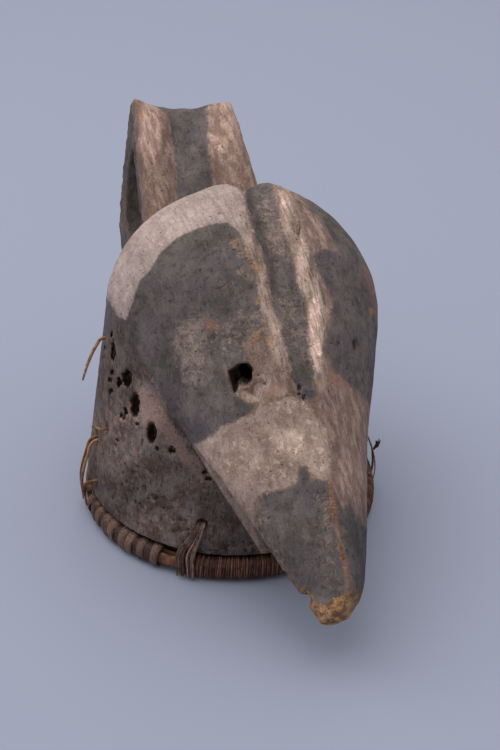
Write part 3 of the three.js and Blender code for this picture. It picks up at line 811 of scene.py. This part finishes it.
def marks(points, mark, seed, stretch=(1, 1, 1)):
    """Uneven marks of one kind: how high they stand and how broad they are, in millimetres."""
    height, size = mark
    return height * unevenness(points, size, seed, stretch)


def patches(points, mark, seed, low, high):
    """Marks of one kind that lie only in scattered patches."""
    height, size = mark
    return height * ramp(unevenness(points, size, seed), low, high)


def carve(piece):
    """Cuts the eye's hollow, holes, pits, tool marks and weathered wall into the mesh."""
    carving = Carving(piece)
    points, normals = carving.points, carving.normals
    facing = (normals @ carving.back > 0.05) & (carving.inside < 0.5)
    wall = ramp(carving.wall_depth(), -1, 1.5)
    head_seen = facing * (1 - wall) * (1 - carving.crest)

    away = press(carving, EYE_FLOOR, *EYE_FLOOR_PRESS, head_seen)
    away += press(carving, EYE_OPENING, *EYE_OPENING_PRESS, head_seen)
    wander = np.stack([unevenness(points, 3, 21), unevenness(points, 3, 22)], 1)
    ragged_here = carving.here + PIT_RAGGEDNESS * wander
    for pits, seen in ((HEAD_PITS, head_seen), (WALL_PITS, facing * wall)):
        for x, y, half_width, half_height, depth in pits:
            gap = np.hypot((ragged_here[:, 0] - x) / half_width, (ragged_here[:, 1] - y) / half_height)
            away += ramp(gap, 1.25, 0.7) * depth * seen
    points = points - carving.back * away[:, None] * MM

    tooling = marks(points, TOOL_MARKS, 1) + marks(points, SMALL_TOOL_MARKS, 2)
    lumps = unevenness(points, WALL_LUMPS[1], 4)
    weather = marks(points, WALL_GRAIN, 3, (1, 1, 3.5)) + WALL_LUMPS[0] * lumps
    weather -= DEEP_WALL_LUMPS * ramp(lumps, 0.32, 0.6)
    low_front = ramp(carving.z, 95, 70) * ramp(carving.y, 0, -50)
    weather -= low_front * patches(points, BROAD_ROT, 5, 0.1, 0.45)
    weather -= low_front * patches(points, SMALL_ROT, 10, 0.2, 0.5)
    weather *= 0.45 + 0.55 * ramp(unevenness(points, 38, 6), -0.2, 0.3)
    chips = marks(points, TIP_CHIPS, 7) * ramp(carving.y, -196, -206)
    crest_wear = marks(points, CREST_WEAR, 8) * carving.crest
    beak_edge = carving.y < BEAK_EDGE_AHEAD
    edge = np.maximum(0, 1 - line_distance(carving.here, CHIPPED_EDGE) / CHIPS_REACH)
    chips -= edge * patches(points, EDGE_CHIPS, 9, -0.1, 0.4) * beak_edge
    notch_x, notch_y, notch_reach, notch_depth = BEAK_NOTCH
    gap = np.hypot(carving.here[:, 0] - notch_x, carving.here[:, 1] - notch_y) / notch_reach
    chips -= notch_depth * ramp(gap, 1, 0.1) * beak_edge
    proud = (tooling + crest_wear + chips) * (1 - wall) + weather * wall
    proud *= ramp(carving.z, 1.5, 6) * (1 - carving.inside)
    move_vertices(piece, points + normals * np.minimum(proud, MOST_PROUD)[:, None] * MM)


def by_spots(places, spots):
    """Painted light and shade, with the paint's own tone, from round spots on the photograph: each is whole
    in its middle and fades at its rim.
    """
    shade = np.ones(len(places))
    for x, y, half_width, half_height, value in spots:
        gap = np.hypot((places[:, 0] - x) / half_width, (places[:, 1] - y) / half_height)
        shade = shade * (1 + (value - 1) * ramp(gap, 1.4, 0.5))
    return shade


def painted_light_and_tone(carving, wall):
    """How bright each point is beside its paint's own tone: painted light and shade from the spots, darker
    low on the wall, a painted shadow under the beak and a painted shadow in the rabbet.
    """
    shade = carving.by_photo(lambda places: by_spots(places, HEAD_PAINTED_LIGHT_AND_TONE))
    crest_shade = 1 + (by_spots(carving.here, CREST_PAINTED_LIGHT_AND_TONE) - 1) * carving.crest_front
    shade = np.where(carving.crest > 0.5, crest_shade, shade)
    shade = np.where(wall > 0, by_spots(carving.here, WALL_PAINTED_LIGHT_AND_TONE), shade)
    low = ramp(carving.z, 62, 34) * (wall > 0) * 0.06
    # Painted shadow of the beak on the wall below it.
    painted_beak_shadow = ramp(carving.y, -60, -95) * (wall > 0) * 0.18
    # In the rabbet the wood is darkened as a painted shadow.
    return shade * (1 - low) * (1 - painted_beak_shadow) * (1 - 0.72 * carving.in_rabbet)


def ochre_and_raw_wood(carving, head_shown):
    """Depths in the flecks of ochre, and in the wood laid bare at the beak's tip, ridge and edge."""
    here = carving.here
    ochre = np.full(len(here), float(NO_PAINT))
    for x, y, radius in OCHRE_FLECKS:
        gap = np.hypot(here[:, 0] - x, here[:, 1] - y)
        ochre = np.maximum(ochre, (radius - gap) / PIXELS_PER_MM)
    ochre = np.where(head_shown, ochre, NO_PAINT)
    ochre = np.where(carving.crest > 0.5, depth_in_line(here, CREST_EDGE, CREST_EDGE_HALF_WIDTH), ochre)
    raw = carving.depth(RAW_TIP)
    for line, half_width in ((RIDGE_RUST, RUST_HALF_WIDTH), (CHIPPED_EDGE, CHIPS_HALF_WIDTH)):
        raw = np.maximum(raw, np.where(carving.seen > 0.3, depth_in_line(here, line, half_width), NO_PAINT))
    return ochre, np.where(carving.y < BEAK_AHEAD, raw, NO_PAINT)


def paint(piece):
    """Works out where each paint lies and where light and shade are painted, and keeps them with the mesh."""
    carving = Carving(piece)
    on_crest = carving.crest > 0.5
    on_front = carving.crest_front > 0.5
    head_shown = (carving.seen > 0.5) & ~on_crest
    wall = carving.wall_depth()

    clay = carving.depth(CROWN_CLAY, RIGHT_RIB_CLAY, BEAK_CLAY, EYE_CLAY)
    soot = carving.depth(LEFT_LOBE_SOOT, RIGHT_LOBE_SOOT, CHANNEL_SOOT, BEAK_SOOT, BEAK_SIDE_SOOT)
    crest_clay = np.where(on_front, depth_in_line(carving.here, CREST_SCRATCH, SCRATCH_HALF_WIDTH), NO_PAINT)
    crest_soot = np.where(on_front, depth_inside(carving.here, CREST_SOOT) / PIXELS_PER_MM, 3)
    back = ramp(carving.y, *BACK_BEHIND)
    clay = np.where(on_crest, crest_clay, clay * (1 - back) - 6 * back)
    soot = np.where(on_crest, crest_soot, soot * (1 - back) + 5 * back)
    under = (carving.seen < 0.5) & (carving.seen_mirrored < 0.5) & ~on_crest & (carving.z < 175)
    clay = np.where(under, np.minimum(clay, -4), clay)
    soot = np.where(under, np.maximum(soot, 4), soot)

    ochre, raw = ochre_and_raw_wood(carving, head_shown)
    pink = carving.by_photo(lambda places: depth_inside(places, WALL_PINK) / PIXELS_PER_MM)
    red = carving.depth(EYE_RED, RIDGE_RED, BEAK_RED, LOBE_RED, TIP_RED, BRIDGE_RED)
    red_line = depth_in_line(carving.here, RIDGE_RUST, RED_LINE_HALF_WIDTH)
    red = np.maximum(red, np.where(head_shown & (carving.y < BEAK_AHEAD), red_line, NO_PAINT))
    scuffed = carving.depth(
        MOTTLED_PATCH, CHANNEL_SCUFF, BROW_SCUFF, LOW_CHANNEL_SCUFF, BEAK_EDGE_SCUFF, RIDGE_SCUFF
    )
    above_eye = carving.by_photo(lambda places: ramp(places[:, 1], *ABOVE_EYE))
    white = carving.by_photo(lambda places: ramp(places[:, 0], *WHITE_SIDE)) * above_eye
    crown_line = carving.by_photo(lambda places: line_distance(places, CROWN_LINE))

    fields = {
        "clay": clay,
        "soot": soot,
        "thin": np.where(on_crest, np.where(on_front, 2, NO_PAINT), carving.depth(TAN_PATCH, BEAK_SIDE)),
        "white": np.where(on_crest, 0, white),
        "streaky": np.where(on_crest, 0, above_eye - white),
        "scuffed": np.where(on_crest | (wall > -1), NO_PAINT, scuffed),
        "ochre": ochre,
        "red": np.where(on_crest | (wall > -1), NO_PAINT, red),
        "raw": raw,
        "wall": wall,
        "wall_pink": np.minimum(pink, wall + 2),
        "loose": ramp(crown_line, *CLEAN_TO_LOOSE),
        "shade": painted_light_and_tone(carving, wall),
        "rough": 0.15 + 0.85 * ramp(wall, -1, 2),
        "inside": carving.inside,
    }
    for name, values in fields.items():
        store(piece, name, values)


def keep_faces(piece, most):
    """Drops faces where the surface is flat, and first of all inside the hollow."""
    carving = Carving(piece)
    group = piece.vertex_groups.new(name="plain")
    for share, chosen in ((1.0, carving.inside > 0.5), (0.25, carving.inside <= 0.5)):
        group.add(np.flatnonzero(chosen).tolist(), share, "REPLACE")
    triangles = sum(len(polygon.vertices) - 2 for polygon in piece.data.polygons)
    apply(piece, "DECIMATE", ratio=most / triangles, vertex_group="plain", vertex_group_factor=1.0)
    piece.vertex_groups.clear()


def make_carving():
    piece = copy_of_node("carved_mask", "carved_wood_mask")
    apply(piece, "REMESH", mode="VOXEL", voxel_size=CARVING_GRAIN, adaptivity=0)
    soften_facets(piece, MOST_SOFTENED)
    carve(piece)
    store_bulge(piece)
    keep_faces(piece, KEPT_TRIANGLES)
    paint(piece)
    dress(piece, painted_wood(), "carved_mask")


def cap_spot(angle_deg, z, out):
    """A place on the cap's wall at an angle round the foot, some way out of it."""
    angle = math.radians(angle_deg)
    radius = CAP_HALF_WIDTH * (1 - CAP_NARROWING * z / CAP_SHOULDER)
    length = radius * CAP_HALF_LENGTH / CAP_HALF_WIDTH
    spot = Vector(((radius + out) * math.cos(angle), (length + out) * math.sin(angle), z))
    return (spot + Vector(FOOT_CENTRE)) * MM


def rim_ways(angle_deg):
    """The ways out from the rim's line and along it."""
    angle = math.radians(angle_deg)
    out = Vector((math.cos(angle) / RIM_HALF_WIDTH, math.sin(angle) / RIM_HALF_LENGTH, 0)).normalized()
    return out, Vector((-out.y, out.x, 0))


def rim_spot(angle_deg, out, z):
    """A place near the rim's line, some way out from it."""
    angle = math.radians(angle_deg)
    spot = Vector((RIM_HALF_WIDTH * math.cos(angle), RIM_HALF_LENGTH * math.sin(angle), z))
    return (spot + rim_ways(angle_deg)[0] * out + Vector(FOOT_CENTRE)) * MM


def dress(piece, material, node):
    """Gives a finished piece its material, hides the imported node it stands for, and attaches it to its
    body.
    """
    smooth_shading(piece)
    piece.data.materials.clear()
    piece.data.materials.append(material)
    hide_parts(node)
    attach(piece, "root")


def join(pieces, name):
    select(pieces)
    bpy.ops.object.join()
    pieces[0].name = name
    return pieces[0]


def strands(name, paths, thickness, dice):
    """Round strands along some paths, thinner at their ends, each with a tint of its own."""
    made = []
    for path in paths:
        curve = bpy.data.curves.new("strand", "CURVE")
        curve.dimensions = "3D"
        curve.bevel_depth = MM
        curve.bevel_resolution = 1
        curve.resolution_u = 5
        curve.use_fill_caps = True
        spline = curve.splines.new("BEZIER")
        spline.bezier_points.add(len(path) - 1)
        radius = dice.uniform(*thickness)
        for knot, spot in zip(spline.bezier_points, path):
            knot.co = spot
            knot.handle_left_type = knot.handle_right_type = "AUTO"
            knot.radius = radius
        spline.bezier_points[-1].radius = radius * 0.6
        piece = bpy.data.objects.new("strand", curve)
        bpy.context.scene.collection.objects.link(piece)
        made.append(piece)
    select(made)
    bpy.ops.object.convert(target="MESH")
    for piece in made:
        set_tint(piece, dice.random())
    return join(made, name)


def strayed(path, amount, dice):
    """A path whose points stray, more and more towards its free end."""
    far = len(path) - 1
    return [
        spot + Vector([dice.gauss(0, amount) for _ in range(3)]) * MM * (step / far)
        for step, spot in enumerate(path)
    ]


def thinned(piece, share):
    """Draws a sleeve in towards the rim's line, so that the turns over it show."""
    x, y, z = (vertex_places(piece) / MM - np.array(FOOT_CENTRE)).T
    angle = np.arctan2(y / RIM_HALF_LENGTH, x / RIM_HALF_WIDTH)
    line = np.stack([RIM_HALF_WIDTH * np.cos(angle), RIM_HALF_LENGTH * np.sin(angle), 0 * z + RIM_HEIGHT], 1)
    drawn = line + (np.stack([x, y, z], 1) - line) * share
    move_vertices(piece, (drawn + np.array(FOOT_CENTRE)) * MM)


def one_turn(sides):
    """One turn of wrapping, modelled once round a section of unit size: its own section is a flat band."""
    bpy.ops.object.select_all(action="DESELECT")
    bpy.ops.mesh.primitive_torus_add(
        major_segments=16, minor_segments=sides, major_radius=1, minor_radius=TURN_THICKNESS
    )
    turn = bpy.context.object
    apply(turn, "CAST", cast_type="CUBOID", factor=0.22, use_z=False)
    return turn


def wrapping(node, name, reach, turns, dice):
    """Turns of fibre or cane strip laid side by side round the hoop, over the sleeve that they make up."""
    first, last = reach
    pitch, half_width, lean = turns
    core = copy_of_node(node, name + "_core")
    thinned(core, CORE_SHARE)
    set_tint(core, CORE_TINT)
    turn = one_turn(4 if half_width < 2 else 6)
    pieces = [core]
    length = math.radians(abs(last - first)) * (RIM_HALF_WIDTH + RIM_HALF_LENGTH) / 2
    count = int(length / pitch)
    for step in range(count):
        share = (step + 0.5 + dice.uniform(-0.22, 0.22)) / count
        angle = first + (last - first) * share
        out, along = rim_ways(angle)
        tilt = math.radians(lean + dice.gauss(0, 3))
        rise = Vector((0, 0, math.cos(tilt))) + along * math.sin(tilt)
        side = along * math.cos(tilt) - Vector((0, 0, math.sin(tilt)))
        size = dice.uniform(0.965, 1.03)
        axes = (
            out * (SLEEVE_HALF_WIDTH - 0.45) * size,
            rise * (SLEEVE_HALF_HEIGHT - 0.75) * size,
            side * half_width / TURN_THICKNESS * dice.uniform(0.8, 1.1),
        )
        place = Matrix.Identity(4)
        for column, axis in enumerate(axes):
            place.col[column] = (*(axis * MM), 0)
        place.translation = rim_spot(angle, 0, RIM_HEIGHT)
        piece = turn.copy()
        piece.data = turn.data.copy()
        piece.data.transform(place)
        bpy.context.scene.collection.objects.link(piece)
        set_tint(piece, dice.random())
        pieces.append(piece)
    bpy.data.objects.remove(turn)
    return join(pieces, name)


def plant_fibre(name, tones):
    """Split cane or bark fibre: streaky, dusty, and a little glossy where it is worn."""
    dark, middle, light = tones
    material, shader, recipe = new_material(name)
    mottle = recipe.clouds(recipe.places(), 7, 4, 0.6)
    grain = recipe.fibres((1, 1, 9), 0.9)
    tint = recipe.maths("ADD", recipe.carried("tint"), recipe.ramp(mottle, 0.3, 0.7, -0.25, 0.25))
    groove = [tone * 0.6 for tone in dark]
    layers = ((tint, 0, 0.55, 1), (tint, 0.6, 1.1, 1), (grain, 0.48, 0.7, 1))
    recipe.fill(shader, {
        "Base Color": recipe.finish((dark, middle, light, groove), *layers),
        "Roughness": recipe.ramp(grain, 0.3, 0.7, 0.5, 0.85),
        "Normal": recipe.bump(grain, 0.5, 0.4),
    })
    return material


def make_rim(cane, strip, dice):
    """The wrapped hoop, with the bare canes where its wrapping is lost."""
    bark = plant_fibre("dark wrapped fibre", BARK_FIBRE)
    for side, reach, turns, material in (
        ("round", ROUND_BINDING, FINE_TURNS, bark),
        ("left", LEFT_BINDING, WIDE_STRIPS, strip),
    ):
        node = "rim_binding_" + side
        dress(wrapping(node, "rim_wrapping_" + side, reach, turns, dice), material, node)
    for side in ("inner", "outer"):
        hoop = copy_of_node("rim_cane_" + side, "hoop_cane_" + side)
        apply(hoop, "SUBSURF", levels=1, render_levels=1)
        set_tint(hoop, 0.22)
        dress(hoop, cane, "rim_cane_" + side)


def out_of_hole(hole, out):
    """The start of a tie: from inside the wall out through its hole."""
    return [cap_spot(*hole, -6), cap_spot(*hole, out)]


def down(foot, *spots):
    """The way down over the rim, through spots that each lie some way out from its line and up."""
    return [rim_spot(foot, out, z) for out, z in spots]


def over_rim(hole, foot):
    """The way of a tie out of a hole in the wall and down over the rim."""
    middle = rim_spot((hole[0] + foot) / 2, 5, 33)
    return [*out_of_hole(hole, 1.6), middle, *down(foot, (7.4, 20), (7.4, 12), (6.2, 3))]


def front_strand(start, foot, dice):
    """A strand of the front tie: it lies flat on the wall before it crosses the rim."""
    height = FRONT_HOLE[1]
    on_wall = [
        cap_spot(start, height, -6),
        cap_spot(start, height - 1, 1.5),
        cap_spot(start * 0.45 + foot * 0.55, height - 11, 2.4),
    ]
    return strayed(on_wall + down(foot, (6.6, 21), (7.2, 12), (6.2, 2.6)), 0.3, dice)


def make_ties(cane, strip, dice):
    """The canes and fibres that tie the hoop to the wall, with their broken ends."""
    start = FRONT_HOLE[0]
    front = [front_strand(start - 1.6 + 0.3 * step, -129.2 + 0.75 * step, dice) for step in range(4)]
    front += [front_strand(start + 0.1 + 0.2 * step, -125.4 + 0.75 * step, dice) for step in range(4)]
    dress(strands("front_tie", front, (0.75, 1.05), dice), strip, "tie_front")

    right = [strayed(over_rim(RIGHT_HOLE, foot), 0.3, dice) for foot in (-11.4, -12.2, -15.6, -16.4)]
    tuft = [rim_spot(-13, 6.4, 27), rim_spot(-14, 8, 31), rim_spot(-15.5, 8.8, 36), rim_spot(-17, 9, 40)]
    right += [strayed(tuft, 1.2, dice) for _ in range(9)]
    dress(strands("right_tie", right, (0.3, 0.7), dice), strip, "tie_right")

    left = [
        [
            *out_of_hole(LEFT_HOLE, 1.4),
            rim_spot((LEFT_HOLE[0] + foot) / 2, 5.2, 27),
            rim_spot(foot + 0.5, 6.2, 18),
            rim_spot(foot, 6.1, 12),
        ]
        for foot in (LEFT_TIE_AT - 0.9, LEFT_TIE_AT, LEFT_TIE_AT + 0.9)
    ]
    knot = copy_of_node("tie_left", "left_tie_knot")
    set_tint(knot, 0.4)
    knot = join([knot, strands("left_tie_ends", left, (0.6, 0.9), dice)], "left_tie")
    dress(knot, cane, "tie_left")

    angle, height = STUB_HOLE
    end = [cap_spot(angle - 4, height - 3, 3), cap_spot(angle - 9, height - 7, 3)]
    stub = out_of_hole(STUB_HOLE, 1.5) + end
    stubs = [strayed(stub, 0.5, dice) for _ in range(4)]
    dress(strands("broken_tie_stub", stubs, (0.5, 0.9), dice), cane, "tie_stub")

    leave = cap_spot(*LOOSE_CANE_HOLE, 2)
    steps = ((-4, -2, -3), (-10, -4, -12), (-16, -6, -26))
    loose = [cap_spot(*LOOSE_CANE_HOLE, -7), leave, *(leave + Vector(step) * MM for step in steps)]
    dress(strands("loose_cane", [loose], (1.1, 1.15), dice), cane, "loose_cane_end")

    hole, height = SIDE_CANE_HOLE
    for side, angle in (("front", hole + 1.3), ("back", hole - 1.3)):
        path = [
            cap_spot(angle, height, -6),
            cap_spot(angle, height - 1, 2),
            cap_spot(angle, height - 11, 5),
            cap_spot(angle - 1, height - 25, 6.4),
            rim_spot(angle - 4.5, 6.9, 20),
            rim_spot(angle - 6, 6.2, 5),
        ]
        bowed = strands("bowed_cane_" + side, [path], (1.1, 1.15), dice)
        dress(bowed, cane, "side_cane_" + side)


make_camera()
make_light()
make_floor()
make_carving()
dice = random.Random(11)
split_cane = plant_fibre("old split cane", SPLIT_CANE)
dusty_strip = plant_fibre("dusty cane strip", DUSTY_STRIP)
make_rim(split_cane, dusty_strip, dice)
make_ties(split_cane, dusty_strip, dice)
